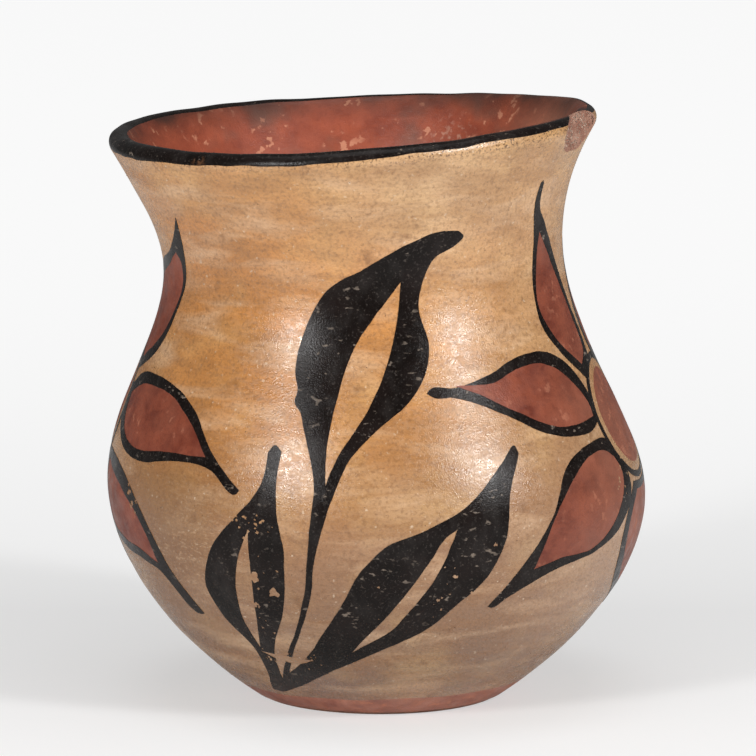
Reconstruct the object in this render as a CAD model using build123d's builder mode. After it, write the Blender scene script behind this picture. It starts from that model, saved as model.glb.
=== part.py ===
"""A coil-built pueblo pottery jar: moulded base, clay coils, slips and lip paint, standing on its foot."""

import os
from itertools import accumulate
from math import cos, radians, sin

from build123d import *

os.makedirs("parts", exist_ok=True)

# Rings of the outer face, from the table up. Each has a rise from the ring below it, a spread outside
# that ring or a draw inside it, and a lean: how far its centre stands to the right of the foot's centre.
FOOT_RADIUS = 41.0
HEEL_RISE = 13.0
HEEL_SPREAD = 17.0
FLANK_RISE = 19.2
FLANK_SPREAD = 17.9
BELLY_RISE = 36.0
BELLY_SPREAD = 14.1
BELLY_LEAN = -1.0
SHOULDER_RISE = 32.0
SHOULDER_DRAW = 8.0
SHOULDER_LEAN = -3.4
NECK_RISE = 48.0
NECK_DRAW = 15.2
NECK_LEAN = -5.8
FLARE_RISE = 28.0
FLARE_SPREAD = 7.6
FLARE_LEAN = -10.4
RIM_RISE = 17.0
RIM_SPREAD = 8.9
RIM_LEAN = -11.4

# The crest of the lip is no flat ring: it tilts up to the right and dips and rises like a saddle
RIM_TILT = 4.6
RIM_SADDLE = 1.2
RIM_SADDLE_TURN = 20.0

# Clay and coats
WALL = 6.5
FLOOR = 8.0
FLOOR_INSET = 5.0
SLIP = 0.5
LIP_FLAT = 1.1

# The moulded base and the rim coil, each measured along the wall, and the coils between them
BASE_REACH = 26.0
RIM_COIL_REACH = 12.0
COIL_COUNT = 11
LAP_ANGLE = 30.0

# Edges of the slips and of the paint on the lip. The red foot is wiped bare where it meets the table
FOOT_BARE = 1.0
FOOT_BAND = 6.0
RIM_BAND = 4.5
NECK_SLIP_DEPTH = 50.0

# The chip broken from the lip
CHIP_WIDTH = 29.0
CHIP_DEPTH = 4.0
CHIP_BEARING = -20.0

# How finely the lofts follow the wall, and how far the cutting shapes stand clear of it
SECTIONS = 15
CLEAR = 20.0

STEPS = [
    (FOOT_RADIUS, 0, 0),
    (HEEL_SPREAD, 0, HEEL_RISE),
    (FLANK_SPREAD, 0, FLANK_RISE),
    (BELLY_SPREAD, BELLY_LEAN, BELLY_RISE),
    (-SHOULDER_DRAW, SHOULDER_LEAN, SHOULDER_RISE),
    (-NECK_DRAW, NECK_LEAN, NECK_RISE),
    (FLARE_SPREAD, FLARE_LEAN, FLARE_RISE),
    (RIM_SPREAD, RIM_LEAN, RIM_RISE),
]
spreads, leans, rises = zip(*STEPS)
radii = list(accumulate(spreads))
rim_radius = radii[-1]
rim_level = sum(rises)
lip_round = (WALL - LIP_FLAT) / 2
floor_radius = FOOT_RADIUS - FLOOR_INSET
past_rim = 2 * (RIM_TILT + RIM_SADDLE)
far = max(radii) + CLEAR

# One curve holds the whole outer face: its X is the radius, its Y the lean and its Z the height
with BuildLine() as wall_line:
    Spline(*zip(radii, leans, accumulate(rises)))
wall = wall_line.edge()


def wall_ring(length, offset):
    """Radius, lean and height of the ring at a length along the wall, moved out square to the wall."""
    on_wall = min(length, wall.length)
    along = wall.tangent_at(on_wall, PositionMode.LENGTH)
    ring = wall.position_at(on_wall, PositionMode.LENGTH) + along * (length - on_wall)
    return ring + Vector(along.Z, 0, -along.X).normalized() * offset


def wall_form(offset, floor=0.0, base_radius=FOOT_RADIUS):
    """The solid within a face parallel to the jar's outer face, from its floor to past the rim."""
    step = (wall.length + past_rim) / SECTIONS
    with BuildPart() as form:
        with BuildSketch(Plane.XY.offset(floor)):
            Circle(base_radius)
        for number in range(1, SECTIONS + 1):
            ring = wall_ring(number * step, offset)
            with BuildSketch(Plane((ring.Y, 0, ring.Z))):
                Circle(ring.X)
        loft()
    return form.part


def crest_height(x, y):
    """Height of the lip's crest over a point of the table."""
    across = (x - RIM_LEAN) / rim_radius
    deep = y / rim_radius
    turn = radians(2 * RIM_SADDLE_TURN)
    saddle = (across**2 - deep**2) * cos(turn) - 2 * across * deep * sin(turn)
    return rim_level + RIM_TILT * across + RIM_SADDLE * saddle


def over_crest(drop):
    """Everything above a face that lies a drop under the lip's crest."""
    spots = [far * share for share in (-1, -0.5, 0, 0.5, 1)]
    grid = [[Vector(x, y, crest_height(x, y) - drop) for y in spots] for x in spots]
    with BuildPart() as over:
        extrude(Face.make_surface_from_array_of_points(grid), amount=rim_level, dir=(0, 0, 1))
    return over.part


def lap_joint(number):
    """The cone along which one coil was pressed on the next: it slants down towards the inside."""
    step = (wall.length - BASE_REACH - RIM_COIL_REACH) / COIL_COUNT
    length = BASE_REACH + number * step
    along = wall.tangent_at(length, PositionMode.LENGTH)
    up = Vector(along.X, 0, along.Z).normalized()
    out = Vector(up.Z, 0, -up.X)
    slant = out * cos(radians(LAP_ANGLE)) + up * sin(radians(LAP_ANGLE))
    ring = wall_ring(length, -SLIP - WALL / 2)
    middle = Vector(ring.X, 0, ring.Z)
    with BuildLine() as lap:
        Line(middle - slant * WALL, middle + slant * WALL)
    return Pos(ring.Y, 0, 0) * Face.revolve(lap.edge(), 360, Axis.Z)


def save(part, name):
    """Label a finished piece and write it as a node of its own."""
    part.label = name
    export_step(part, f"parts/{name}.step")


# A round scoop that took a flake off the outside of the lip
chip_out = Vector(cos(radians(CHIP_BEARING)), sin(radians(CHIP_BEARING)), 0)
lip_spot = Vector(RIM_LEAN, 0, 0) + chip_out * rim_radius
lip_spot.Z = crest_height(lip_spot.X, lip_spot.Y)
scoop_radius = (CHIP_WIDTH**2 / 4 + CHIP_DEPTH**2) / (2 * CHIP_DEPTH)
with BuildPart() as chip:
    with Locations(lip_spot + chip_out * (scoop_radius - CHIP_DEPTH)):
        Sphere(scoop_radius)

# The clay wall in one, rounded at the lip and chipped
with BuildPart() as clay:
    add(wall_form(-SLIP, base_radius=FOOT_RADIUS - SLIP))
    add(wall_form(-SLIP - WALL, FLOOR, floor_radius), mode=Mode.SUBTRACT)
    add(over_crest(SLIP), mode=Mode.SUBTRACT)
    fillet(clay.faces().sort_by(Axis.Z)[-1].edges(), lip_round)
    add(chip.part, mode=Mode.SUBTRACT)

# It parts at the lap joints, from the moulded base up through the coils to the rim coil
names = ["base_pad"] + [f"coil_{number + 1:02}" for number in range(COIL_COUNT)]
above = clay.part
for number, name in enumerate(names):
    with BuildPart() as piece:
        add(above)
        split(bisect_by=lap_joint(number), keep=Keep.BOTH)
    below, above = piece.solids().sort_by(Axis.Z)
    save(below, name)
save(above, "rim_coil")

# One coat over the whole wall, inside and out
with BuildPart() as coat:
    add(wall_form(0))
    add(wall_form(-2 * SLIP - WALL, FLOOR + SLIP, floor_radius), mode=Mode.SUBTRACT)
    add(over_crest(0), mode=Mode.SUBTRACT)
    fillet(coat.faces().sort_by(Axis.Z)[-1].edges(), lip_round + SLIP)
    add(chip.part, mode=Mode.SUBTRACT)
    add(clay.part, mode=Mode.SUBTRACT)

# It parts into the black lip, the cream outside, the red foot and the red inside of the neck
core = wall_form(-SLIP - WALL / 2, FLOOR / 2, floor_radius)
foot_top = FOOT_BARE + FOOT_BAND
with BuildPart() as foot_zone:
    with BuildSketch():
        Circle(far)
    extrude(amount=foot_top)
with BuildPart() as bare_zone:
    with BuildSketch():
        Circle(far)
    extrude(amount=FOOT_BARE)

with BuildPart() as rim_paint:
    add(coat.part)
    add(over_crest(RIM_BAND), mode=Mode.INTERSECT)
save(rim_paint.part, "rim_paint")

with BuildPart() as cream_slip:
    add(coat.part)
    add(core, mode=Mode.SUBTRACT)
    add(over_crest(RIM_BAND), mode=Mode.SUBTRACT)
    add(foot_zone.part, mode=Mode.SUBTRACT)
save(cream_slip.part, "cream_slip")

with BuildPart() as foot_slip:
    add(coat.part)
    add(core, mode=Mode.SUBTRACT)
    add(foot_zone.part, mode=Mode.INTERSECT)
    add(bare_zone.part, mode=Mode.SUBTRACT)
save(foot_slip.part, "foot_slip")

with BuildPart() as neck_slip:
    add(coat.part)
    add(core, mode=Mode.INTERSECT)
    add(over_crest(NECK_SLIP_DEPTH), mode=Mode.INTERSECT)
    add(over_crest(RIM_BAND), mode=Mode.SUBTRACT)
save(neck_slip.part, "neck_slip")
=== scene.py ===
"""Looks of the coil-built pueblo pottery jar: slips, black lip, chip, painted plants, light and camera."""
import math

import bmesh
import bpy
import numpy as np
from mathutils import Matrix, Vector, geometry, noise
from mathutils.bvhtree import BVHTree


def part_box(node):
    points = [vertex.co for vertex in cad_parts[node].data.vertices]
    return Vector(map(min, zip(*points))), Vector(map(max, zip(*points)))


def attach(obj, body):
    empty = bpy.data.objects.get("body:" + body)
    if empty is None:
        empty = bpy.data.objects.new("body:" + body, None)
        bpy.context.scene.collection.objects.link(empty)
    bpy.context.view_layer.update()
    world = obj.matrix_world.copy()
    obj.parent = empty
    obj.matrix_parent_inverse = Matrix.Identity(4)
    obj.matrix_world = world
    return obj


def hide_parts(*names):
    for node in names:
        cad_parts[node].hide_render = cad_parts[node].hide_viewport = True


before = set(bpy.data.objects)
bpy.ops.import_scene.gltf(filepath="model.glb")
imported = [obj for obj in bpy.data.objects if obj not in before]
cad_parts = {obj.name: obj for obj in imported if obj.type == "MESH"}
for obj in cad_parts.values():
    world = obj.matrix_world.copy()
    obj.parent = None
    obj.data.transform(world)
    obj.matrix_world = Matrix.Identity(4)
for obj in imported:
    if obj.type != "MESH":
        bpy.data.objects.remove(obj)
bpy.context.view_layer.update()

MM = 0.001

# Coats and paints, in millimetres
COAT = 0.5                # slip and lip paint over the clay
LIP_HALF = 3.7            # half the thickness of the rounded lip
FOOT_BARE = 1.0           # bare clay under the red foot band
NECK_SLIP_DEPTH = 48.0    # how far the red goes down inside the neck
PAINT_RED = 0.06          # how far each paint stands proud of the slip
PAINT_BLACK = 0.12
SEAM = 0.04               # width of the flat margin along the edge of each slip and paint

# Heights that divide the wall, in millimetres
ROUND_TOP = 182.0         # up to here the wall has its full round under the tilted lip
WALL_TOP = 193.0          # up to here it is read at the right, where the lip is highest
LIP_LEVEL = 186.0         # where the flare just under the lip is measured

# The chip in the lip
CHIP_BEARING = 72.5       # degrees round to the right from the front
CHIP_WIDTH = 42.0
CHIP_HEIGHT = 24.0
CHIP_DEPTH = 6.5

# How closely the wall and the crest of its lip are read
WALL_STEP = 1.5           # between the heights at which the wall is read
RADIUS_DEGREE = 13        # of the smooth curve through the radii
LEAN_DEGREE = 9           # of the smooth curve through the leans
CREST_TURN = 4.0          # degrees between two readings of the crest
CHIP_CLEAR = 16.0         # degrees on each side of the chip's middle that are left out
CREST_INWARD = 8.0        # how far inside and outside the wall the crest is looked for
CREST_OUTWARD = 3.0
CREST_STEP = 0.5          # between two rays across the lip
RAY_HEIGHT = 1000.0       # from where the rays are sent down

# Marks of the potter's hand on the wall, in millimetres
SWELL_SIZE = 46.0
SWELL_HEIGHT = 0.4
DENT_SIZE = 19.0
DENT_HEIGHT = 0.16
DENT_FLATNESS = 1.6       # how much longer than high the dents are
MARKS_UNDER_LIP = 6.0     # the marks end this far under the crest, after a fade
MARKS_LIP_FADE = 12.0
MARKS_OVER_TABLE = 2.0    # and this far above the table
MARKS_FOOT_FADE = 10.0


# The wall's shape, read from the frame

def tree_of(*names):
    """A ray-casting tree over the CAD nodes named."""
    verts, faces = [], []
    for name in names:
        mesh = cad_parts[name].data
        first = len(verts)
        verts += [vertex.co.copy() for vertex in mesh.vertices]
        faces += [[first + i for i in polygon.vertices] for polygon in mesh.polygons]
    return BVHTree.FromPolygons(verts, faces)


def wall_x(tree, heights, side):
    """Where level rays to the axis meet the wall from the right (1) or the left (-1), in millimetres."""
    hits = [tree.ray_cast(Vector((side, 0, z * MM)), Vector((-side, 0, 0)))[0] for z in heights]
    return np.array([hit.x for hit in hits]) / MM


def read_wall(tree):
    """Radius and lean of the wall's rings as smooth curves of height."""
    heights = np.arange(FOOT_BARE + WALL_STEP / 2, ROUND_TOP, WALL_STEP)
    x_right, x_left = wall_x(tree, heights, 1), wall_x(tree, heights, -1)
    lean = np.polynomial.Chebyshev.fit(heights, (x_right + x_left) / 2, LEAN_DEGREE)
    above = np.arange(ROUND_TOP, WALL_TOP, WALL_STEP)
    lean_above = lean(ROUND_TOP) + lean.deriv()(ROUND_TOP) * (above - ROUND_TOP)
    all_heights = np.concatenate([heights, above])
    all_leans = np.concatenate([lean(heights), lean_above])
    all_radii = np.concatenate([(x_right - x_left) / 2, wall_x(tree, above, 1) - lean_above])
    radius_curve = np.polynomial.Chebyshev.fit(all_heights, all_radii, RADIUS_DEGREE)
    lean_curve = np.polynomial.Chebyshev.fit(all_heights, all_leans, LEAN_DEGREE)
    return radius_curve, lean_curve


def waves(b):
    """The two waves round the mouth that make up the crest of the lip."""
    return np.stack([np.ones_like(b), np.sin(b), np.cos(b), np.sin(2 * b), np.cos(2 * b)], -1)


def read_crest(tree, radius, lean):
    """Height of the lip's crest round the mouth, read clear of the chip."""
    bearings, heights = [], []
    across_lip = np.arange(radius - CREST_INWARD, radius + CREST_OUTWARD, CREST_STEP)
    for bearing in np.arange(0.0, 360.0, CREST_TURN):
        if abs((bearing - CHIP_BEARING + 180) % 360 - 180) < CHIP_CLEAR:
            continue
        b = math.radians(bearing)
        spots = [Vector((lean + r * math.sin(b), -r * math.cos(b), RAY_HEIGHT)) * MM for r in across_lip]
        hits = [tree.ray_cast(spot, Vector((0, 0, -1)))[0] for spot in spots]
        bearings.append(b)
        heights.append(max(hit.z for hit in hits if hit is not None) / MM)
    return np.linalg.lstsq(waves(np.array(bearings)), np.array(heights), rcond=None)[0]


outer_tree = tree_of("cream_slip", "foot_slip", "rim_paint")
wall_radius, wall_lean = read_wall(outer_tree)
wall_slope = wall_radius.deriv()
crest_waves = read_crest(outer_tree, wall_radius(LIP_LEVEL), wall_lean(LIP_LEVEL))
lip_flare = math.atan(float(wall_slope(LIP_LEVEL)))


def ripple(b, height, count, start=0.0):
    """A wave of a height that runs a count of times round the jar."""
    return height * np.sin(count * b + start)


def crest(b):
    """Height of the lip's crest at a bearing in radians, a little uneven as fingers left it."""
    fingers = ripple(b, 0.2, 9, 0.6) * ripple(b, 1, 2, 1) + ripple(b, 0.1, 23) * ripple(b, 1, 3)
    return waves(b) @ crest_waves + fingers


def roll_start(b):
    """Height on the outer face where the lip's roll begins."""
    return crest(b) - LIP_HALF * (1 + math.sin(lip_flare))


def noise_at(points, size, seed):
    """Soft noise between -1 and 1, with lumps about as large as the size, at each of many points."""
    shift = Vector((seed, seed * 1.7, -seed))
    return np.array([noise.noise(Vector(p) / size + shift) for p in points])


def place(b, r, z, lean):
    """Points in metres from bearings, radii and heights in millimetres."""
    return np.stack([lean + r * np.sin(b), -r * np.cos(b), z], -1) * MM


def hand_relief(b, r, z, lean):
    """How far the hand-scraped wall swells or dips, in millimetres."""
    points = place(b, r, z, lean) / MM
    swell = noise_at(points, SWELL_SIZE, seed=3.0) * SWELL_HEIGHT
    dents = noise_at(points * np.array([1, 1, DENT_FLATNESS]), DENT_SIZE, seed=8.0) * DENT_HEIGHT
    return swell + dents


def outside(b, z, lift=0.0):
    """Points on the jar's outer face, or lifted off it, in metres."""
    b, z = np.broadcast_arrays(b, z)
    slope = wall_slope(z)
    across = 1 / np.sqrt(1 + slope**2)
    r, lean = wall_radius(z), wall_lean(z)
    lip_fade = np.clip((crest(b) - MARKS_UNDER_LIP - z) / MARKS_LIP_FADE, 0, 1)
    foot_fade = np.clip((z - MARKS_OVER_TABLE) / MARKS_FOOT_FADE, 0, 1)
    off = lift + hand_relief(b, r, z, lean) * (lip_fade * foot_fade)
    return place(b, r + off * across, z - off * slope * across, lean)


def lip(b, turn, inset=0.0):
    """Points round the lip's roll, which leaves the outer face at turn 0 and meets the inner one at pi."""
    half = LIP_HALF - inset
    r_middle = wall_radius(roll_start(b)) - LIP_HALF * math.cos(lip_flare)
    z_middle = crest(b) - LIP_HALF
    r = r_middle + half * np.cos(turn - lip_flare)
    z = z_middle + half * np.sin(turn - lip_flare)
    return place(b, r, z, wall_lean(roll_start(b)))


def inside(b, z, inset=0.0):
    """Points on the inner face across from heights on the outer one, or set into the wall, in metres."""
    slope = wall_slope(z)
    across = 1 / np.sqrt(1 + slope**2)
    thick = 2 * LIP_HALF - inset
    return place(b, wall_radius(z) - thick * across, z + thick * slope * across, wall_lean(z))


# Meshes

def add_piece(name, verts, faces, *materials):
    """A new smooth object at the origin from points in metres and faces."""
    mesh = bpy.data.meshes.new(name)
    mesh.from_pydata([tuple(v) for v in verts], [], [tuple(f) for f in faces])
    mesh.update()
    for material in materials:
        mesh.materials.append(material)
    mesh.shade_smooth()
    piece = bpy.data.objects.new(name, mesh)
    bpy.context.scene.collection.objects.link(piece)
    return piece


def ring_piece(name, rows, *materials):
    """A closed ring whose section is a loop: rows run round the loop, columns round the jar."""
    rows = np.asarray(rows)
    count, columns = rows.shape[:2]
    faces = []
    for i in range(count):
        j = (i + 1) % count
        for k in range(columns):
            m = (k + 1) % columns
            faces.append((i * columns + k, i * columns + m, j * columns + m, j * columns + k))
    return add_piece(name, rows.reshape(-1, 3), faces, *materials)


def between(low, high, count):
    """Rows spread evenly from one edge round the jar to another."""
    return [low + (high - low) * share for share in np.linspace(0, 1, count)]


def edged(low, high, count, seam):
    """Steps from one edge to another, with one more close to each edge, so that light stays even up to it."""
    return [low, *between(low + seam, high - seam, count), high]


def hand_over(piece, node=None):
    """Make a piece part of the jar and in place of a CAD node where it has one."""
    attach(piece, "root")
    if node:
        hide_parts(node)


# Materials

def hex_colour(text):
    """An sRGB hex colour as linear red, green, blue and alpha."""
    parts = [int(text[i:i + 2], 16) / 255 for i in (1, 3, 5)]
    return tuple(p / 12.92 if p <= 0.04045 else ((p + 0.055) / 1.055) ** 2.4 for p in parts) + (1.0,)


def add_node(tree, kind, inputs=None, **settings):
    """Add a node, give it its settings, and set or link its inputs."""
    made = tree.nodes.new(kind)
    for key, value in settings.items():
        setattr(made, key, value)
    for key, value in (inputs or {}).items():
        if isinstance(value, bpy.types.NodeSocket):
            tree.links.new(value, made.inputs[key])
        else:
            made.inputs[key].default_value = value
    return made


def new_material(name):
    """A material with only a Principled shader, its output and the place on the jar that patterns read."""
    material = bpy.data.materials.new(name)
    material.use_nodes = True
    tree = material.node_tree
    tree.nodes.clear()
    shader = add_node(tree, "ShaderNodeBsdfPrincipled")
    add_node(tree, "ShaderNodeOutputMaterial", {"Surface": shader.outputs["BSDF"]})
    where = add_node(tree, "ShaderNodeTexCoord").outputs["Object"]
    return material, tree, shader, where


def lumps(tree, where, size, low=0.35, high=0.65, span=(0, 1), detail=3.0, stretch=(1, 1, 1), bend=0.0):
    """Noise with lumps of a size in millimetres, raised from a low to a high level over a span of values."""
    spot = add_node(tree, "ShaderNodeMapping", {"Vector": where, "Scale": stretch}).outputs["Vector"]
    look = {"Vector": spot, "Scale": 1 / (size * MM), "Detail": detail, "Distortion": bend}
    cloud = add_node(tree, "ShaderNodeTexNoise", look).outputs["Fac"]
    limits = {"Value": cloud, "From Min": low, "From Max": high, "To Min": span[0], "To Max": span[1]}
    return add_node(tree, "ShaderNodeMapRange", limits).outputs["Result"]


SPECK_CORE = 0.7          # share of a speck's radius within which it is full


def specks(tree, where, spacing, radius, strength):
    """Round specks of a radius, one to each cell of a spacing, both in millimetres."""
    cells = add_node(tree, "ShaderNodeTexVoronoi", {"Vector": where, "Scale": 1 / (spacing * MM)})
    away = cells.outputs["Distance"]
    edge = radius / spacing
    limits = {"Value": away, "From Min": edge, "From Max": edge * SPECK_CORE, "To Max": strength}
    return add_node(tree, "ShaderNodeMapRange", limits).outputs["Result"]


def near(tree, where, spot, reach, strength):
    """A soft cloud round a spot in millimetres, from full at the spot to nothing at its reach."""
    ends = {0: where, 1: [v * MM for v in spot]}
    away = add_node(tree, "ShaderNodeVectorMath", ends, operation="DISTANCE").outputs["Value"]
    limits = {"Value": away, "From Min": reach * MM, "From Max": 0.0, "To Max": strength}
    return add_node(tree, "ShaderNodeMapRange", limits, interpolation_type="SMOOTHSTEP").outputs["Result"]


def layered(tree, colour, *layers):
    """A colour with others laid over it in turn, each as strong as its mask."""
    for mask, other in layers:
        laid = {"Factor": mask, "A": colour, "B": hex_colour(other)}
        colour = add_node(tree, "ShaderNodeMix", laid, data_type="RGBA").outputs["Result"]
    return colour


def finish_surface(tree, shader, colour, roughness, reliefs, sheen, depth):
    """Give a shader its colour, roughness, sheen and a bump, its depth in millimetres, from added reliefs."""
    shader.inputs["Specular IOR Level"].default_value = sheen
    height = reliefs[0]
    for relief in reliefs[1:]:
        height = add_node(tree, "ShaderNodeMath", {0: height, 1: relief}, operation="ADD").outputs["Value"]
    bump = add_node(tree, "ShaderNodeBump", {"Height": height, "Distance": depth * MM})
    tree.links.new(colour, shader.inputs["Base Color"])
    tree.links.new(roughness, shader.inputs["Roughness"])
    tree.links.new(bump.outputs["Normal"], shader.inputs["Normal"])


def both(tree, first, second):
    """A mask that is full only where both of two masks are."""
    return add_node(tree, "ShaderNodeMath", {0: first, 1: second}, operation="MULTIPLY").outputs["Value"]


def drift(tree, where, size, dark, light):
    """A colour that drifts between a dark and a light one over lumps of a size in millimetres."""
    ends = {"Factor": lumps(tree, where, size), "A": hex_colour(dark), "B": hex_colour(light)}
    return add_node(tree, "ShaderNodeMix", ends, data_type="RGBA").outputs["Result"]


def by_height(tree, where, stops):
    """A colour that changes up the jar, from stops of height in millimetres and colour."""
    height = add_node(tree, "ShaderNodeSeparateXYZ", {"Vector": where}).outputs["Z"]
    share = add_node(tree, "ShaderNodeMapRange", {"Value": height, "From Max": WALL_TOP * MM})
    ramp = add_node(tree, "ShaderNodeValToRGB", {"Fac": share.outputs["Result"]})
    while len(ramp.color_ramp.elements) < len(stops):
        ramp.color_ramp.elements.new(1.0)
    for element, (position, colour) in zip(ramp.color_ramp.elements, stops):
        element.position = position / WALL_TOP
        element.color = hex_colour(colour)
    return ramp.outputs["Color"]


def under_lip(tree, where, far, full):
    """A mask that grows towards the lip, from nothing at a far depth under its crest to full at a lesser."""
    r, lean = wall_radius(LIP_LEVEL), wall_lean(LIP_LEVEL)
    middle, rightward, frontward = crest_waves[:3]
    tilt = {0: where, 1: (rightward / r, -frontward / r, -1.0)}
    depth = add_node(tree, "ShaderNodeVectorMath", tilt, operation="DOT_PRODUCT").outputs["Value"]
    level = (rightward * lean / r - middle) * MM
    limits = {"Value": depth, "From Min": level + far * MM, "From Max": level + full * MM}
    return add_node(tree, "ShaderNodeMapRange", limits).outputs["Result"]


# Heights in millimetres and the colour of the cream slip there, before its stains; darker and greyer towards
# the foot, partly the slip's own tone and partly painted shade on the low body
CREAM_AND_SHADE_UP_THE_WALL = (
    (6, "#816453"),
    (30, "#8b6c56"),
    (60, "#957155"),
    (92, "#aa7d53"),
    (125, "#c99159"),
    (150, "#c98f59"),
    (180, "#d09e69"),
)


def cream_slip_finish():
    """Stone-burnished cream slip: golden tan, greyer and darker low down, partly as painted shade, wiped
    sideways and stained, with a sheen.
    """
    material, tree, shader, where = new_material("burnished_cream_slip")
    # The ramp up the wall darkens towards the foot: partly the slip's own grey, partly painted shade on the
    # low body.
    base = by_height(tree, where, CREAM_AND_SHADE_UP_THE_WALL)
    wiped, wiped_wide = (0.22, 0.22, 1.0), (0.25, 0.25, 1.0)
    streaks = lumps(tree, where, 6.0, 0.38, 0.68, (0, 0.5), detail=6.0, stretch=wiped, bend=0.6)
    pale_streaks = lumps(tree, where, 8.0, 0.48, 0.72, (0, 0.55), detail=6.0, stretch=wiped_wide, bend=0.6)
    hairlines = lumps(tree, where, 1.0, 0.45, 0.7, (0, 0.26), stretch=(0.2, 0.2, 1.0), bend=0.4)
    grit = lumps(tree, where, 0.5, 0.4, 0.7)
    scratches = lumps(tree, where, 0.7, 0.56, 0.66, detail=5.0, stretch=(0.4, 0.4, 1.0), bend=0.8)
    rubbed = near(tree, where, (-60, -62, 58), 36, 0.55)
    soot_dots = lumps(tree, where, 0.7, 0.54, 0.64, detail=5.0)
    colour = layered(
        tree, base,
        (near(tree, where, (-45, -72, 125), 95, 0.7), "#c5803a"),
        (near(tree, where, (-68, -25, 165), 62, 0.7), "#bd7a3e"),
        (near(tree, where, (70, -45, 140), 68, 0.5), "#d8b68e"),
        (near(tree, where, (15, -68, 182), 45, 0.5), "#dfc19b"),
        (lumps(tree, where, 24, 0.45, 0.7, (0, 0.4)), "#d9b27c"),
        (lumps(tree, where, 15, 0.48, 0.72, (0, 0.32)), "#946539"),
        (streaks, "#9a6c42"),
        (pale_streaks, "#dcb792"),
        (hairlines, "#8a6140"),
        (near(tree, where, (-70, -55, 60), 52, 0.75), "#785231"),
        (near(tree, where, (72, -45, 62), 60, 0.5), "#b5947b"),
        (both(tree, rubbed, scratches), "#cfae8a"),
        (lumps(tree, where, 1.1, 0.48, 0.72, (0, 0.52), detail=4.0), "#775335"),
        (lumps(tree, where, 7, 0.65, 0.76, (0, 0.6)), "#7a522f"),
        (lumps(tree, where, 1.7, 0.66, 0.72, (0, 0.4), detail=5.0), "#ead8bf"),
        (both(tree, under_lip(tree, where, 8, 3), soot_dots), "#4d3220"),
    )
    roughness = lumps(tree, where, 1.6, 0.35, 0.65, (0.16, 0.38), detail=4.0, stretch=(0.6, 0.6, 1.0))
    finish_surface(tree, shader, colour, roughness, (hairlines, grit), sheen=0.6, depth=0.035)
    return material


def red_slip_finish(name, dark, light, flaked):
    """Burnished red slip, unevenly brushed: pale orange shows where it is flaked, and soot stains it."""
    material, tree, shader, where = new_material(name)
    strokes = lumps(tree, where, 2.4, 0.4, 0.7, (0, 0.6), detail=5.0, stretch=(0.5, 0.5, 1.0), bend=0.6)
    bare_spots = lumps(tree, where, 4.0, 0.6, 0.63, (0, 0.9 * flaked), detail=5.0)
    flakes = both(tree, bare_spots, lumps(tree, where, 15, 0.46, 0.56))
    back_patch = near(tree, where, (24, 58, 178), 15, 0.6 * flaked)
    scraped = both(tree, back_patch, lumps(tree, where, 1.8, 0.54, 0.64, detail=5.0))
    soot = both(tree, under_lip(tree, where, 9, 0.5), lumps(tree, where, 20, 0.3, 0.6, (0.4, 0.9)))
    colour = layered(
        tree, drift(tree, where, 9, dark, light),
        (strokes, light),
        (lumps(tree, where, 1.3, 0.55, 0.72, (0, 0.5)), dark),
        (lumps(tree, where, 20, 0.52, 0.75, (0, 0.65 * flaked)), "#6d564a"),
        (near(tree, where, (85, -30, 85), 60, 0.4), "#a5705a"),
        (near(tree, where, (58, 20, 178), 42, 0.6 * flaked), "#a87d66"),
        (scraped, "#c39a85"),
        (flakes, "#c98668"),
        (soot, "#36251f"),
    )
    roughness = lumps(tree, where, 4, 0.35, 0.65, (0.3, 0.5))
    reliefs = (strokes, lumps(tree, where, 0.6))
    finish_surface(tree, shader, colour, roughness, reliefs, sheen=0.3, depth=0.04)
    return material


def black_paint_finish():
    """Black mineral paint: deep glossy black, rubbed grey in patches, with pale scuffs where it is worn."""
    material, tree, shader, where = new_material("black_mineral_paint")
    scuffs = lumps(tree, where, 1.6, 0.63, 0.69, (0, 0.42), detail=5.0, stretch=(0.5, 0.5, 1.0))
    worn = both(tree, scuffs, lumps(tree, where, 13, 0.42, 0.62))
    lip_nick = both(tree, near(tree, where, (-60.5, -65.3, 188), 5, 1.0), lumps(tree, where, 1.4, 0.45, 0.52))
    colour = layered(
        tree, drift(tree, where, 12, "#120d0b", "#1c1513"),
        (lumps(tree, where, 6, 0.5, 0.75, (0, 0.4), stretch=(1, 1, 0.6)), "#35312f"),
        (lumps(tree, where, 0.8, 0.58, 0.7, (0, 0.35)), "#57504b"),
        (worn, "#b3a292"),
        (lip_nick, "#9a6a4a"),
    )
    roughness = lumps(tree, where, 4, 0.3, 0.7, (0.14, 0.32))
    reliefs = (scuffs, lumps(tree, where, 0.5))
    finish_surface(tree, shader, colour, roughness, reliefs, sheen=0.14, depth=0.025)
    return material


def clay_finish(name, dark, light):
    """Bare fired clay: dull pinkish brown, gritty with pale and dark grains."""
    material, tree, shader, where = new_material(name)
    colour = layered(
        tree, drift(tree, where, 4, dark, light),
        (lumps(tree, where, 0.8, 0.5, 0.7, (0, 0.5)), light),
        (specks(tree, where, 2.1, 0.3, 0.6), "#d8c2ae"),
        (specks(tree, where, 1.7, 0.25, 0.7), "#5b4338"),
    )
    roughness = lumps(tree, where, 2, 0.35, 0.65, (0.78, 0.95))
    reliefs = (lumps(tree, where, 0.7), lumps(tree, where, 2.0))
    finish_surface(tree, shader, colour, roughness, reliefs, sheen=0.3, depth=0.3)
    return material


def grain_finish(name, dark, light):
    """Crushed-rock temper: small dull grains, each grain dark or pale."""
    material, tree, shader, where = new_material(name)
    colour = drift(tree, where, 1.5, dark, light)
    roughness = lumps(tree, where, 1, span=(0.6, 0.9))
    finish_surface(tree, shader, colour, roughness, (lumps(tree, where, 0.4),), sheen=0.3, depth=0.05)
    return material


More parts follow.
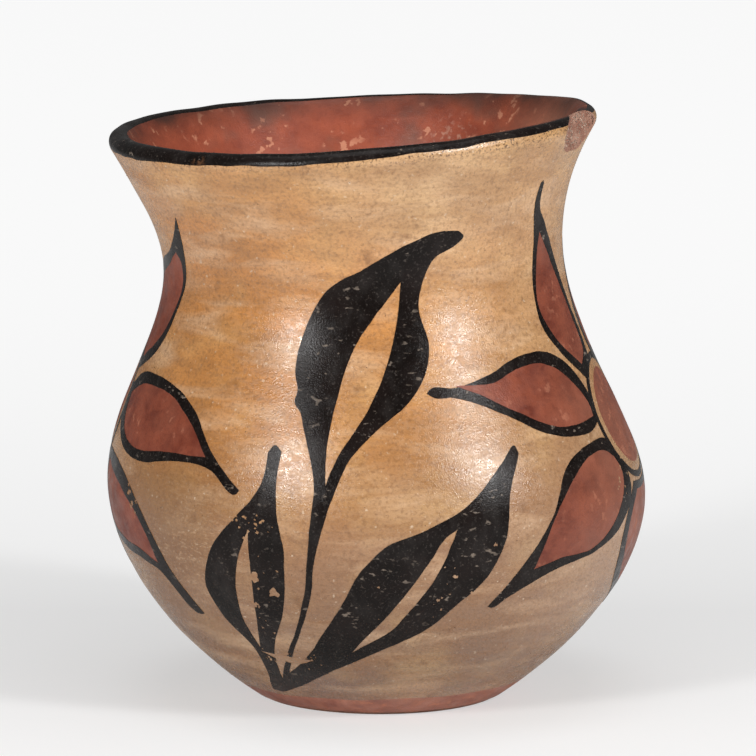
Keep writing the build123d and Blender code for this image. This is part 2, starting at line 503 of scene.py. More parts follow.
cream_material = cream_slip_finish()
petal_material = red_slip_finish("burnished_red_slip", "#672d1f", "#8c4934", 0.3)
foot_material = red_slip_finish("rubbed_red_slip", "#945847", "#b87a62", 0.6)
neck_material = red_slip_finish("worn_red_slip_inside", "#87412f", "#a4533a", 1.0)
black_material = black_paint_finish()
clay_material = clay_finish("fired_clay", "#9c6d58", "#b98c76")
break_material = clay_finish("broken_clay", "#936452", "#b38a77")
temper_material = grain_finish("crushed_rock_temper", "#4a382f", "#d2beab")
speck_material = grain_finish("dark_temper_specks", "#3b2a20", "#6b4c37")

for node_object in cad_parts.values():
    node_object.data.materials.clear()
    node_object.data.materials.append(clay_material)

# Slips

AROUND = 480              # columns of points round the jar
WALL_ROWS = 170           # rows of points up the outer face
WALL_BACK_ROWS = 40       # and up the hidden face of the cream slip
CREAM_LIP_ROWS = 6
FOOT_ROWS = 8
BLACK_ROWS = 24
NECK_ROLL_ROWS = 5
NECK_ROWS = 40
NECK_BACK_ROWS = 12
COIL_ROWS = 8
COIL_ROLL_ROWS = 16
FOOT_BAND_TOP = 7.2       # mean height of the red foot band's upper edge
BLACK_BAND = 3.1          # mean breadth of the black down the outside of the lip
BLACK_TURN = 138.0        # mean turn of the lip's roll, in degrees, at which the black ends inside
around = np.arange(AROUND) * 2 * math.pi / AROUND
top_edge = roll_start(around)

# Upper edge of the red foot band, brushed by hand, so it wanders
foot_edge = FOOT_BAND_TOP + ripple(around, 0.8, 1, -0.3) + ripple(around, 0.3, 3, 1)
foot_edge += ripple(around, 0.15, 11)

# Turns of the lip's roll between which it is black: the band is broad at the left and narrow at the right
black_band = BLACK_BAND + ripple(around, -1.5, 1) + ripple(around, 0.25, 6, 2) + ripple(around, 0.15, 17)
black_band += ripple(around, 0.12, 41) * ripple(around, 1, 4)
black_start = lip_flare + np.arcsin(np.clip(1 - black_band / LIP_HALF, -0.4, 0.95))
black_end = np.radians(BLACK_TURN + ripple(around, -26, 1, 0.5) + ripple(around, 3, 7, 1))

seam_turn = SEAM / LIP_HALF
cream_turns = between(0 * around, black_start - seam_turn, CREAM_LIP_ROWS)[1:]
cream_rows = [outside(around, edge) for edge in (foot_edge, *between(foot_edge + SEAM, top_edge, WALL_ROWS))]
cream_rows += [lip(around, turn) for turn in (*cream_turns, black_start)]
cream_rows += [lip(around, turn, COAT) for turn in (black_start, 0 * around)]
cream_rows += [outside(around, edge, -COAT) for edge in between(top_edge, foot_edge, WALL_BACK_ROWS)[1:]]
cream_slip = ring_piece("cream_slip_skin", cream_rows, cream_material)

foot_rows = [outside(around, edge) for edge in edged(FOOT_BARE, foot_edge, FOOT_ROWS, SEAM)]
foot_rows += [outside(around, edge, -COAT) for edge in (foot_edge, FOOT_BARE)]
foot_slip = ring_piece("foot_slip_skin", foot_rows, foot_material)

rim_rows = [lip(around, turn) for turn in edged(black_start, black_end, BLACK_ROWS, seam_turn)]
rim_rows += [lip(around, turn, COAT) for turn in between(black_end, black_start, BLACK_ROWS)]
rim_paint = ring_piece("rim_paint_skin", rim_rows, black_material)

neck_low = top_edge - NECK_SLIP_DEPTH
neck_turns = between(black_end + seam_turn, math.pi, NECK_ROLL_ROWS)
neck_edges = between(top_edge, neck_low + SEAM, NECK_ROWS)[1:]
neck_rows = [lip(around, turn) for turn in (black_end, *neck_turns)]
neck_rows += [inside(around, edge) for edge in (*neck_edges, neck_low)]
neck_rows += [inside(around, edge, COAT) for edge in between(neck_low, top_edge, NECK_BACK_ROWS)]
neck_rows += [lip(around, turn, COAT) for turn in between(math.pi, black_end, 3)[1:]]
neck_slip = ring_piece("neck_slip_skin", neck_rows, neck_material)

hand_over(cream_slip, "cream_slip")
hand_over(foot_slip, "foot_slip")
hand_over(rim_paint, "rim_paint")
hand_over(neck_slip, "neck_slip")

# The two coils that the chip lays bare

def joint_heights(below, above):
    """Heights of the lap between two coils on the outer and the inner face, in millimetres."""
    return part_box(below)[1].z / MM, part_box(above)[0].z / MM


def inner_edge(height):
    """Height on the outer face that lies across the wall from a height on the inner one."""
    slope = wall_slope(height)
    return height - (2 * LIP_HALF - COAT) * slope / np.sqrt(1 + slope**2)


upper_outer, upper_inner = joint_heights("coil_11", "rim_coil")
lower_outer, lower_inner = joint_heights("coil_10", "coil_11")
rim_clay_rows = [outside(around, edge, -COAT) for edge in between(upper_outer, top_edge, COIL_ROWS)]
rim_clay_rows += [lip(around, turn, COAT) for turn in np.linspace(0, math.pi, COIL_ROLL_ROWS)[1:-1]]
rim_inner_edges = between(top_edge, inner_edge(upper_inner), COIL_ROWS)
rim_clay_rows += [inside(around, edge, COAT) for edge in rim_inner_edges]
rim_clay = ring_piece("rim_coil_clay", rim_clay_rows, clay_material, break_material)
hand_over(rim_clay, "rim_coil")

outer_edges = np.linspace(lower_outer, upper_outer, COIL_ROWS)
inner_edges = np.linspace(inner_edge(upper_inner), inner_edge(lower_inner), COIL_ROWS)
coil_rows = [outside(around, np.full(AROUND, edge), -COAT) for edge in outer_edges]
coil_rows += [inside(around, np.full(AROUND, edge), COAT) for edge in inner_edges]
upper_clay = ring_piece("coil_11_clay", coil_rows, clay_material, break_material)
hand_over(upper_clay, "coil_11")

# The chip: a flake broken from the outside of the lip

CHIP_DROP = 1.0           # from the lip's crest down to the middle of the scoop
CHIP_SLANT = 14.0         # how many degrees the scoop's length falls towards the front
CHIP_LUMPS = ((7.0, 0.7), (2.6, 0.4), (1.1, 0.18))     # size and height of the lumps on the broken face


def chip_scoop():
    """The lumpy scoop that the flake left, to cut with."""
    radius = (CHIP_WIDTH**2 / 4 + CHIP_DEPTH**2) / (2 * CHIP_DEPTH)
    b = math.radians(CHIP_BEARING)
    sideways = Vector((math.cos(b), math.sin(b), 0))
    outward = Vector((math.sin(b), -math.cos(b), 0))
    wall_up = outward * math.sin(lip_flare) + Vector((0, 0, math.cos(lip_flare)))
    wall_out = outward * math.cos(lip_flare) - Vector((0, 0, math.sin(lip_flare)))
    slant = math.radians(CHIP_SLANT)
    along = sideways * math.cos(slant) + wall_up * math.sin(slant)
    across = wall_up * math.cos(slant) - sideways * math.sin(slant)
    bearing = np.array([b])
    middle = Vector(outside(bearing, crest(bearing) - CHIP_DROP)[0])
    centre = middle + wall_out * (radius - CHIP_DEPTH) * MM
    ball = bmesh.new()
    bmesh.ops.create_icosphere(ball, subdivisions=6, radius=radius)
    for vertex in ball.verts:
        rough = sum(noise.noise(vertex.co / size) * height for size, height in CHIP_LUMPS)
        x, y, z = vertex.co + vertex.co.normalized() * rough
        vertex.co = centre + (along * x + across * y * CHIP_HEIGHT / CHIP_WIDTH + wall_out * z) * MM
    mesh = bpy.data.meshes.new("chip_scoop")
    ball.to_mesh(mesh)
    ball.free()
    mesh.materials.append(break_material)
    scoop = bpy.data.objects.new("chip_scoop", mesh)
    bpy.context.scene.collection.objects.link(scoop)
    return scoop


def settle(piece):
    """Turn what a piece's modifiers make of it into its own plain mesh."""
    before = piece.data
    piece.data = bpy.data.meshes.new_from_object(piece.evaluated_get(bpy.context.evaluated_depsgraph_get()))
    piece.modifiers.clear()
    bpy.data.meshes.remove(before)


scoop = chip_scoop()
for piece in (cream_slip, rim_paint, neck_slip, rim_clay, upper_clay):
    cut = piece.modifiers.new("chip", "BOOLEAN")
    cut.object = scoop
    cut.solver = "EXACT"
    cut.material_mode = "TRANSFER"
    settle(piece)
bpy.data.objects.remove(scoop)

# Temper grains: crushed rock in the clay, bare in the broken face and here and there in the slip

GRAIN_SHAPE = (1.0, 0.7, 0.6)     # length, breadth and thickness of a grain, as shares of its length
GRAIN_SEED = 7
GRAIN_INPUTS = {
    "Geometry": "NodeSocketGeometry",
    "Faces": "NodeSocketMaterial",
    "Density": "NodeSocketFloat",
    "Smallest": "NodeSocketFloat",
    "Largest": "NodeSocketFloat",
    "Seed": "NodeSocketInt",
    "Grain": "NodeSocketMaterial",
}


def grain_scatter():
    """A node tree that scatters grains over the faces of one material."""
    tree = bpy.data.node_groups.new("grain_scatter", "GeometryNodeTree")
    for name, kind in GRAIN_INPUTS.items():
        tree.interface.new_socket(name, in_out="INPUT", socket_type=kind)
    tree.interface.new_socket("Geometry", in_out="OUTPUT", socket_type="NodeSocketGeometry")
    given = add_node(tree, "NodeGroupInput").outputs
    chosen = add_node(tree, "GeometryNodeMaterialSelection", {"Material": given["Faces"]})
    points = add_node(tree, "GeometryNodeDistributePointsOnFaces", {
        "Mesh": given["Geometry"],
        "Selection": chosen.outputs["Selection"],
        "Density": given["Density"],
        "Seed": given["Seed"],
    })
    grain = add_node(tree, "GeometryNodeMeshIcoSphere", {"Radius": 1.0, "Subdivisions": 1})
    long_grain = add_node(tree, "GeometryNodeTransform", {
        "Geometry": grain.outputs["Mesh"],
        "Scale": GRAIN_SHAPE,
    })
    sizes = {"Min": given["Smallest"], "Max": given["Largest"], "Seed": given["Seed"]}
    size = add_node(tree, "FunctionNodeRandomValue", sizes, data_type="FLOAT")
    turns = {"Max": (math.tau, math.tau, math.tau), "Seed": given["Seed"]}
    spin = add_node(tree, "FunctionNodeRandomValue", turns, data_type="FLOAT_VECTOR")
    grains = add_node(tree, "GeometryNodeInstanceOnPoints", {
        "Points": points.outputs["Points"],
        "Instance": long_grain.outputs["Geometry"],
        "Rotation": spin.outputs["Value"],
        "Scale": size.outputs["Value"],
    })
    real = add_node(tree, "GeometryNodeRealizeInstances", {"Geometry": grains.outputs["Instances"]})
    dressed = add_node(tree, "GeometryNodeSetMaterial", {
        "Geometry": real.outputs["Geometry"],
        "Material": given["Grain"],
    })
    add_node(tree, "NodeGroupOutput", {"Geometry": dressed.outputs["Geometry"]})
    return tree


def scatter_grains(name, carrier, faces, per_square_mm, smallest, largest, grain):
    """Grains of a range of radii in millimetres over the faces of a carrier that have one material."""
    piece = bpy.data.objects.new(name, carrier.data.copy())
    bpy.context.scene.collection.objects.link(piece)
    spread = piece.modifiers.new("grains", "NODES")
    spread.node_group = scatter_tree
    values = {
        "Faces": faces,
        "Density": per_square_mm / MM**2,
        "Smallest": smallest * MM,
        "Largest": largest * MM,
        "Seed": GRAIN_SEED,
        "Grain": grain,
    }
    for socket in scatter_tree.interface.items_tree:
        if socket.name in values:
            spread[socket.identifier] = values[socket.name]
    settle(piece)
    hand_over(piece)


scatter_tree = grain_scatter()
scatter_grains("chip_grains", rim_clay, break_material, 0.8, 0.15, 0.42, temper_material)
scatter_grains("slip_specks", cream_slip, cream_material, 0.006, 0.1, 0.24, speck_material)

# Painted plants on the unrolled wall: bearings in degrees right of the front, heights in millimetres

UNROLL = 80.0             # radius at which the wall is unrolled
FILM_GRID = 1.6           # spacing of the points within a painted shape
EDGE_STEP = 0.7           # spacing of the points along its edge
BRUSH_WAVES = ((6.0, 0.22), (1.8, 0.08))     # size and height of the unsteadiness of the brush
BRUSH_SEED = 5            # the same unsteadiness in every run
OVAL_POINTS = 140
FLAKE_POINTS = 22
FLAKE_RAGGED = 0.9        # how far a flake's edge strays from its mean radius, as a share of it
FLAKE_NOTCHES = 1.6       # how closely the notches in that edge follow each other
CLUSTER_SEED = 1000
SAME_SPOT = 1e-5          # points of an outline that are closer than this are one
SLIVER = 1e-6             # triangles smaller than this are left out
LEAST_REACH = 0.1         # keeps the margin of a film narrow at a sharp point

noise.seed_set(BRUSH_SEED)


def unrolled(points):
    """Places on the unrolled wall, in millimetres."""
    points = np.array(points, float)
    return np.stack([np.radians(points[:, 0]) * UNROLL, points[:, 1]], 1)


def brush_run(points):
    """A smooth stroke through a few points, as closely spaced places on the unrolled wall."""
    p = unrolled(points)
    length = np.concatenate([[0], np.cumsum(np.linalg.norm(np.diff(p, axis=0), axis=1))])
    tangent = np.gradient(p, length, axis=0)
    at = np.linspace(0, length[-1], max(2, int(length[-1] / EDGE_STEP)))
    i = np.clip(np.searchsorted(length, at, side="right") - 1, 0, len(p) - 2)
    span = (length[i + 1] - length[i])[:, None]
    t = (at - length[i])[:, None] / span
    start = (1 + 2 * t) * (1 - t)**2 * p[i] + t * (1 - t)**2 * span * tangent[i]
    end = t**2 * (3 - 2 * t) * p[i + 1] + t**2 * (t - 1) * span * tangent[i + 1]
    return start + end


def unsteady(outline):
    """An outline as a hand with a brush draws it."""
    for size, height in BRUSH_WAVES:
        waver = [noise.noise_vector(Vector((x, y, 0)) / size) for x, y in outline]
        outline = outline + np.array([(w.x, w.y) for w in waver]) * height
    return outline


def shape(runs):
    """A closed outline from brush runs that meet at corners."""
    return unsteady(np.concatenate([brush_run(run)[:-1] for run in runs]))


def oval(bearing, height, half_width, half_height):
    """A closed oval outline, its half width and half height in millimetres."""
    turn = np.linspace(0, 2 * math.pi, OVAL_POINTS, endpoint=False)
    middle = unrolled([(bearing, height)])
    return unsteady(middle + np.stack([half_width * np.cos(turn), half_height * np.sin(turn)], 1))


def flake(bearing, height, size):
    """The ragged outline of a loss in the paint, its mean radius in millimetres."""
    turn = np.linspace(0, 2 * math.pi, FLAKE_POINTS, endpoint=False)
    ways = np.stack([np.cos(turn), np.sin(turn)], 1)
    spots = [Vector((x, y, bearing + height)) * FLAKE_NOTCHES for x, y in ways]
    ragged = [1 + FLAKE_RAGGED * noise.noise(spot) for spot in spots]
    return unrolled([(bearing, height)]) + ways * size * np.array(ragged)[:, None]


def flake_cluster(bearing, height, spread_bearing, spread_height, count, size):
    """Small losses strewn round a spot."""
    chance = np.random.default_rng(int(CLUSTER_SEED + bearing * 7 + height))
    places = chance.normal((bearing, height), (spread_bearing, spread_height), (count, 2))
    return [flake(b, z, size * chance.uniform(0.5, 1.3)) for b, z in places]


def within(points, outlines):
    """Which points lie inside any of some closed outlines."""
    found = np.zeros(len(points), bool)
    x, y = points[:, :1], points[:, 1:]
    for outline in outlines:
        x0, y0 = outline.T
        x1, y1 = np.roll(outline, -1, 0).T
        level = (y0 > y) != (y1 > y)
        rise = np.where(y1 == y0, 1.0, y1 - y0)
        found |= (level & (x < (x1 - x0) * (y - y0) / rise + x0)).sum(1) % 2 == 1
    return found


def film_triangles(shapes, gaps):
    """Spots on the unrolled wall and triangles between them that fill every shape, less the gaps."""
    low, high = np.concatenate(shapes).min(0), np.concatenate(shapes).max(0)
    columns, rows = (np.arange(low[i], high[i], FILM_GRID) for i in (0, 1))
    grid = np.stack(np.meshgrid(columns, rows), -1)
    grid[1::2, :, 0] += FILM_GRID / 2
    grid = grid.reshape(-1, 2)
    points = [Vector(p) for p in grid[within(grid, shapes) & ~within(grid, gaps)]]
    edges = []
    for outline in shapes + gaps:
        first, count = len(points), len(outline)
        points += [Vector(p) for p in outline]
        edges += [(first + i, first + (i + 1) % count) for i in range(count)]
    spots, _, triangles, *_ = geometry.delaunay_2d_cdt(points, edges, [], 0, SAME_SPOT)
    spots, triangles = np.array([tuple(p) for p in spots]), np.array(triangles)
    a, b, c = (spots[triangles[:, i]] for i in range(3))
    turn = (b[:, 0] - a[:, 0]) * (c[:, 1] - a[:, 1]) - (b[:, 1] - a[:, 1]) * (c[:, 0] - a[:, 0])
    triangles[turn < 0] = triangles[turn < 0][:, ::-1]
    middle = (a + b + c) / 3
    kept = (np.abs(turn) > SLIVER) & within(middle, shapes) & ~within(middle, gaps)
    used, triangles = np.unique(triangles[kept], return_inverse=True)
    return spots[used], triangles.reshape(-1, 3)


def seam_margin(spots, rims):
    """Which spots lie on a film's rims, and where they come when moved out by a seam."""
    start, stop = np.array(rims).T
    run = spots[stop] - spots[start]
    square = np.stack([run[:, 1], -run[:, 0]], 1) / np.linalg.norm(run, axis=1)[:, None]
    away = np.zeros_like(spots)
    np.add.at(away, start, square)
    np.add.at(away, stop, square)
    rim = np.unique(start)
    reach = np.maximum(np.linalg.norm(away[rim], axis=1), LEAST_REACH)
    return rim, spots[rim] + SEAM * away[rim] / reach[:, None]


def paint_film(name, shapes, gaps, material, lift):
    """A closed film of paint on the slip, with a flat margin along its rims."""
    spots, triangles = film_triangles(shapes, gaps)
    sides = {(t[i], t[i - 2]) for t in triangles.tolist() for i in range(3)}
    rims = [(i, j) for i, j in sorted(sides) if (j, i) not in sides]
    rim, moved = seam_margin(spots, rims)
    top = np.concatenate([spots, moved])
    upper = outside(top[:, 0] / UNROLL, top[:, 1], lift)
    lower = outside(spots[:, 0] / UNROLL, spots[:, 1], -COAT / 2)
    below = len(top)
    margin = {i: len(spots) + n for n, i in enumerate(rim.tolist())}
    faces = triangles.tolist() + (triangles[:, ::-1] + below).tolist()
    faces += [(j, i, margin[i], margin[j]) for i, j in rims]
    faces += [(margin[j], margin[i], i + below, j + below) for i, j in rims]
    hand_over(add_piece(name, np.concatenate([upper, lower]), faces, material))


def turned(runs, by):
    """The same runs further round the jar."""
    return [[(b + by, z) for b, z in run] for run in runs]


def mirrored(runs, about):
    """The same runs on the other side of a bearing."""
    return [[(2 * about - b, z) for b, z in run] for run in runs]


# The sprig: a tall leaf between two shorter ones, all from one root at the foot, each slit along its middle
TALL_LEAF = (
    [(-34.5, 11), (-25.5, 25), (-20.5, 35), (-17, 46.5), (-14, 69), (-12.5, 87), (-15, 102), (-16, 107),
     (-17.8, 110.5), (-17.4, 113.5), (-18.5, 120), (-15.5, 136), (-10, 145.5), (1.5, 153), (13.5, 160.5),
     (23.5, 164.5), (29, 164.5)],
    [(29, 164.5), (30.5, 163), (28, 160), (21.5, 156), (17, 148), (15, 140.5), (16.5, 128), (15, 120),
     (10, 111), (2, 102.5), (-4.5, 93.5), (-9, 80), (-13, 62.5), (-16, 44.5), (-24.5, 24), (-32, 11)],
    [(-32, 11), (-34.5, 11)],
)
TALL_SLIT = (
    [(-10, 85), (-9.5, 97), (-8, 108.5), (-3.5, 127), (5.5, 141.5), (11, 148.5)],
    [(11, 148.5), (9, 138), (5, 122), (0, 108.5), (-7.5, 93), (-10, 85)],
)
LEFT_LEAF = (
    [(-42, 8.5), (-37, 16), (-35, 24.5), (-40, 38.5), (-41.5, 46.5), (-38, 60.5), (-30, 74), (-26, 80.5),
     (-23.5, 88), (-23, 94.5)],
    [(-23, 94.5), (-21.5, 97), (-20, 95)],
    [(-20, 95), (-21, 82), (-20, 60), (-22.5, 42), (-29, 26), (-32, 16.5)],
    [(-32, 16.5), (-34, 10), (-37.5, 8), (-42, 8.5)],
)
LEFT_SLIT = (
    [(-33, 26.5), (-34, 36), (-32, 55), (-27.5, 70)],
    [(-27.5, 70), (-28.5, 52), (-31.5, 31.5), (-33, 26.5)],
)
RIGHT_LEAF = (
    [(-33.5, 13), (-20, 24.5), (-10, 41.5), (-2.5, 59.5), (1, 65), (9.5, 70.5), (19.5, 78), (27.5, 88),
     (32.5, 95)],
    [(32.5, 95), (33.5, 95.5), (34, 93)],
    [(34, 93), (30, 82), (27.5, 66), (24, 55), (16, 43), (11, 36), (5, 31.5), (-10, 22), (-28, 11.5),
     (-37, 8)],
    [(-37, 8), (-35, 11), (-33.5, 13)],
)
RIGHT_SLIT = (
    [(-7.5, 27), (2.5, 43), (11, 61), (14.5, 68.5), (17, 71)],
    [(17, 71), (13, 57.5), (7, 43.5), (3.5, 37), (-7.5, 27)],
)
SCRAPE = (
    [(-34, 25.5), (-27, 24.5), (-18, 23.5)],
    [(-18, 23.5), (-23, 21.5), (-30, 23), (-34, 25.5)],
)
# Flakes lost from the front sprig: bearing, height and mean radius
FLAKES = (
    (-27.8, 53, 1.7),
    (-23.7, 48, 1.6),
    (-28.9, 43.5, 0.9),
    (16.5, 55, 0.8),
    (25.2, 65, 0.7),
    (13, 47, 0.6),
)
# Clusters of small losses: bearing, height, how far each spreads, count and mean radius
CLUSTERS = (
    (-26, 71, 3.0, 1.6, 22, 0.45),
    (-26, 44, 4.0, 9.0, 18, 0.4),
    (-30, 24, 3.5, 1.5, 10, 0.5),
    (-20, 23, 3.0, 1.5, 10, 0.5),
    (6, 47, 8.0, 7.0, 12, 0.35),
    (18, 52, 6.0, 5.0, 8, 0.35),
)
# Clusters of losses in the back sprig and the two flowers
BACK_CLUSTER = (150, 52, 7, 8, 16, 0.4)
RIGHT_CLUSTER = (66, 78, 2.0, 4.0, 10, 0.5)
LEFT_CLUSTER = (-64, 71, 1.2, 3.0, 9, 1.2)
SPRIG_LEAVES = (TALL_LEAF, LEFT_LEAF, RIGHT_LEAF)
SPRIG_SLITS = (TALL_SLIT, LEFT_SLIT, RIGHT_SLIT)
BACK_MIRROR = 81.5        # the back sprig is the front one mirrored about this bearing

# The right flower: petals round an eye, each red with a black line that runs out into a long black point
RIGHT_EYE = (80.0, 96.5)
UP_PETAL = (
    [(57.5, 177.5), (57, 173), (58, 158), (55.5, 141), (56, 128.5), (60, 121.5), (68.5, 111)],
    [(68.5, 111), (77, 116), (78.5, 122), (75, 142), (64.5, 162), (59.5, 170), (59, 177)],
    [(59, 177), (58.5, 178), (57.5, 177.5)],
)
UP_RED = (
    [(61, 160.5), (59, 151), (56.5, 135), (59, 127.5), (69.5, 115)],
    [(69.5, 115), (75.5, 120), (75.5, 131), (67.5, 150.5), (61, 160.5)],
)
SIDE_PETAL = (
    [(14.5, 113), (15.5, 114.3), (21.5, 114.3), (30.5, 117), (43, 122), (51, 122.5), (62, 116), (66, 106.5),
     (65, 98)],
    [(65, 98), (62.5, 96.5), (51, 95.5), (44.5, 97.5), (32, 106), (21, 111.5), (16, 111.9), (14.5, 113)],
)
SIDE_RED = (
    [(22, 115), (32.5, 115), (41.5, 118.5), (49.5, 119), (60, 112), (64, 102), (63.5, 99.5)],
    [(63.5, 99.5), (55, 98.5), (48.5, 99), (37.5, 105), (27.5, 112), (22, 115)],
)
LOW_PETAL = (
    [(25, 43.5), (32, 56.5), (40, 72.5), (47, 87), (57, 92), (64.5, 92), (67, 89)],
    [(67, 89), (70, 82), (70.5, 76), (63, 63.5), (52.5, 57), (43, 54.5), (29.5, 46), (26, 43), (25, 43.5)],
)
LOW_RED = (
    [(35, 55), (40.5, 72), (48.5, 83.5), (55.5, 88.5), (62.5, 88.5), (65.5, 86)],
    [(65.5, 86), (67, 82), (62.5, 69), (52, 58.5), (42.5, 57.5), (35, 55)],
)
DOWN_PETAL = (
    [(81, 32), (67, 48), (65, 59), (68, 69), (72.5, 76)],
    [(72.5, 76), (80, 75), (87.5, 76)],
    [(87.5, 76), (92, 69), (95, 59), (93, 48), (81, 32)],
)
DOWN_RED = (
    [(80.5, 38), (70, 50), (68, 59), (70.5, 68), (74.5, 73)],
    [(74.5, 73), (80, 72.5), (85.5, 73)],
    [(85.5, 73), (89.5, 68), (92, 59), (90, 50), (80.5, 38)],
)
RIGHT_PETALS = (UP_PETAL, SIDE_PETAL, LOW_PETAL)
RIGHT_REDS = (UP_RED, SIDE_RED, LOW_RED)

# The left flower is its like, a little broader, with its eye out of sight round the side
LEFT_EYE = (-97.0, 98.0)
LEFT_UP_PETAL = (
    [(-55.5, 166), (-59, 154), (-61, 144), (-66, 132), (-71, 120), (-75.5, 115.5), (-84, 111)],
    [(-84, 111), (-91, 115), (-95, 123), (-94, 134), (-87, 144), (-67.5, 154), (-60.5, 160), (-55.5, 166)],
)
LEFT_UP_RED = (
    [(-64.5, 153), (-62.5, 150), (-62.5, 145.5), (-68, 131.5), (-72, 124), (-83, 115)],
    [(-83, 115), (-88.5, 118), (-91.5, 124), (-90.5, 133), (-84.5, 141.5), (-73, 147.5), (-64.5, 153)],
)
LEFT_SIDE_PETAL = (
    [(-29.5, 82), (-37, 92), (-45.5, 105), (-57.5, 111.5), (-65.5, 112.5), (-76, 111), (-82.5, 106)],
    [(-82.5, 106), (-82.5, 99), (-74, 89), (-62, 85.5), (-49.5, 88), (-41.5, 88.5), (-37, 87), (-30, 81),
     (-29.5, 82)],
)
LEFT_SIDE_RED = (
    [(-39, 91), (-44, 99), (-49, 104), (-55.5, 108), (-63.5, 109), (-73, 108), (-79.5, 104)],
    [(-79.5, 104), (-78.5, 99), (-72.5, 91.5), (-65.5, 89), (-52, 90.5), (-39, 91)],
)
LEFT_LOW_PETAL = (
    [(-46.5, 37), (-51.5, 49), (-56.5, 63.5), (-60.5, 71), (-66, 78), (-74, 83), (-83.5, 85)],
    [(-83.5, 85), (-88, 80), (-88, 70), (-84, 60), (-76.5, 55), (-62.5, 52), (-57, 50), (-48, 36.5),
     (-46.5, 37)],
)
LEFT_LOW_RED = (
    [(-56.5, 52.5), (-57.5, 58.5), (-61.5, 67.5), (-68.5, 74), (-83, 81.5)],
    [(-83, 81.5), (-85, 77.5), (-85, 69.5), (-81, 61.5), (-71.5, 57), (-63, 55.5), (-56.5, 52.5)],
)
LEFT_PETALS = (LEFT_UP_PETAL, LEFT_SIDE_PETAL, LEFT_LOW_PETAL)
LEFT_REDS = (LEFT_UP_RED, LEFT_SIDE_RED, LEFT_LOW_RED)

# Half width and half height of the line round a flower's eye, at both its edges, and of the red in the eye
EYE_LINE_OUTER = (22.0, 20.5)
EYE_LINE_INNER = (20.0, 18.5)
EYE_RED = (17.0, 15.5)


def paint_sprig(name, leaves, slits, losses):
    """A sprig of slit leaves, less the losses where its paint has come away."""
    gaps = [shape(slit) for slit in slits] + losses
    paint_film(name, [shape(leaf) for leaf in leaves], gaps, black_material, PAINT_BLACK)


def paint_flower(name, petals, reds, eye, losses):
    """A flower: petals of one side, their mirror images round its eye and one petal down, less its losses."""
    downward = eye[0] - RIGHT_EYE[0]
    petals = [*petals, *(mirrored(petal, eye[0]) for petal in petals), turned(DOWN_PETAL, downward)]
    reds = [*reds, *(mirrored(red, eye[0]) for red in reds), turned(DOWN_RED, downward)]
    fills = [shape(red) for red in reds]
    lines = [shape(petal) for petal in petals] + [oval(*eye, *EYE_LINE_OUTER)]
    gaps = fills + losses + [oval(*eye, *EYE_LINE_INNER)]
    paint_film(name + "_lines", lines, gaps, black_material, PAINT_BLACK)
    paint_film(name + "_red", fills + [oval(*eye, *EYE_RED)], losses, petal_material, PAINT_RED)


losses = [shape(SCRAPE)] + [flake(*loss) for loss in FLAKES]
for cluster in CLUSTERS:
    losses += flake_cluster(*cluster)
paint_sprig("front_sprig", SPRIG_LEAVES, SPRIG_SLITS, losses)
back_leaves = [mirrored(leaf, BACK_MIRROR) for leaf in SPRIG_LEAVES]
back_slits = [mirrored(slit, BACK_MIRROR) for slit in SPRIG_SLITS]
paint_sprig("back_sprig", back_leaves, back_slits, flake_cluster(*BACK_CLUSTER))
paint_flower("right_flower", RIGHT_PETALS, RIGHT_REDS, RIGHT_EYE, flake_cluster(*RIGHT_CLUSTER))
paint_flower("left_flower", LEFT_PETALS, LEFT_REDS, LEFT_EYE, flake_cluster(*LEFT_CLUSTER))

# Floor, light and camera

GLOW_FAR = 0.86           # level, far behind the jar, of the floor's glow, which only the camera sees
GLOW_SINK = 0.425         # how far the glow sinks near the jar
GLOW_START = 0.13         # metres behind the jar's middle at which it begins to rise
GLOW_REACH = 0.605        # metres over which it rises
FLOOR_SIZE = 12.0
FILL_LEVEL = 0.12         # of the even light from all round
LAMP_AIM = Vector((0, 0, 0.1))


def floor_finish():
    """Seamless white studio paper: it takes the jar's shadow and pales to white behind."""
    material, tree, shader, where = new_material("white_studio_paper")
    seen = add_node(tree, "ShaderNodeLightPath").outputs["Is Camera Ray"]
    tones = {"Factor": seen, "A": hex_colour("#f4f4f4"), "B": hex_colour("#bdbdbd")}
    paper = add_node(tree, "ShaderNodeMix", tones, data_type="RGBA")
    tree.links.new(paper.outputs["Result"], shader.inputs["Base Color"])
    shader.inputs["Roughness"].default_value = 0.9
    shader.inputs["Specular IOR Level"].default_value = 0.1
    depth = add_node(tree, "ShaderNodeSeparateXYZ", {"Vector": where}).outputs["Y"]
    behind = {"Value": depth, "From Min": GLOW_START, "From Max": GLOW_START + GLOW_REACH, "To Max": -1.0}
    back = add_node(tree, "ShaderNodeMapRange", behind, clamp=False).outputs["Result"]
    fading = add_node(tree, "ShaderNodeMath", {0: back, 1: 0.0}, operation="MINIMUM").outputs["Value"]
    fall = add_node(tree, "ShaderNodeMath", {0: fading}, operation="EXPONENT").outputs["Value"]
    rise = {0: fall, 1: -GLOW_SINK, 2: GLOW_FAR}
    glow = add_node(tree, "ShaderNodeMath", rise, operation="MULTIPLY_ADD").outputs["Value"]
    shader.inputs["Emission Color"].default_value = (1, 1, 1, 1)
    tree.links.new(both(tree, glow, seen), shader.inputs["Emission Strength"])
    return material


bpy.ops.mesh.primitive_plane_add(size=FLOOR_SIZE)
floor = bpy.context.object
floor.name = "studio_floor"
floor.data.materials.append(floor_finish())

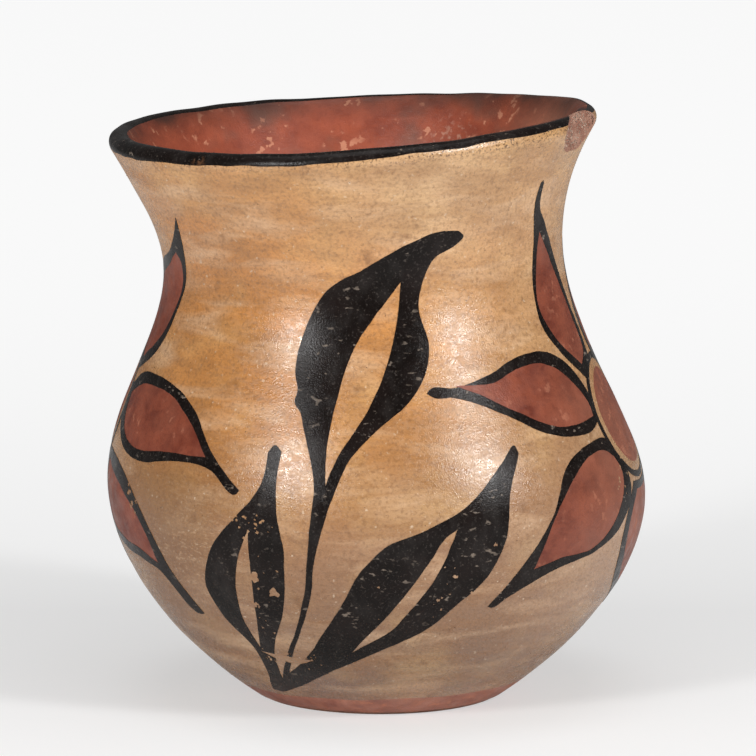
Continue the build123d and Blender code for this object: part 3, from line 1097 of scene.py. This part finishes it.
world = bpy.data.worlds.new("studio_fill")
bpy.context.scene.world = world
world.use_nodes = True
world.node_tree.nodes["Background"].inputs["Color"].default_value = (1, 1, 1, 1)
world.node_tree.nodes["Background"].inputs["Strength"].default_value = FILL_LEVEL


def softbox(name, azimuth, elevation, distance, width, height, power):
    """A rectangular soft light that faces the jar's middle."""
    lamp = bpy.data.lights.new(name, "AREA")
    lamp.shape = "RECTANGLE"
    lamp.size, lamp.size_y = width, height
    lamp.energy = power
    holder = bpy.data.objects.new(name, lamp)
    bpy.context.scene.collection.objects.link(holder)
    a, e = math.radians(azimuth), math.radians(elevation)
    way = Vector((math.sin(a) * math.cos(e), -math.cos(a) * math.cos(e), math.sin(e)))
    holder.location = LAMP_AIM + distance * way
    holder.rotation_euler = (LAMP_AIM - holder.location).to_track_quat("-Z", "Y").to_euler()


softbox("left_softbox", azimuth=-38, elevation=21, distance=1.3, width=0.18, height=0.34, power=9)
softbox("right_softbox", azimuth=51, elevation=24, distance=1.3, width=0.18, height=0.34, power=10)
softbox("top_softbox", azimuth=0, elevation=82, distance=1.5, width=1.2, height=1.2, power=8)

# Camera as in the photograph: far off, a little above the jar
VIEW_DISTANCE = 2.0
VIEW_ELEVATION = math.radians(9.3)
VIEW_AIM = Vector((0, 0, 0.1062))
FOCAL_PIXELS = 5968.0
IMAGE_PIXELS = 756.0
AXIS_RIGHT_PIXELS = 1.84
camera_data = bpy.data.cameras.new("camera")
camera_data.sensor_width = 36.0
camera_data.lens = camera_data.sensor_width * FOCAL_PIXELS / IMAGE_PIXELS
camera_data.shift_x = -AXIS_RIGHT_PIXELS / IMAGE_PIXELS
camera = bpy.data.objects.new("camera", camera_data)
bpy.context.scene.collection.objects.link(camera)
view_way = Vector((0, -math.cos(VIEW_ELEVATION), math.sin(VIEW_ELEVATION)))
camera.location = VIEW_AIM + VIEW_DISTANCE * view_way
camera.rotation_euler = (VIEW_AIM - camera.location).to_track_quat("-Z", "Y").to_euler()
bpy.context.scene.camera = camera
bpy.context.scene.view_settings.view_transform = "Standard"
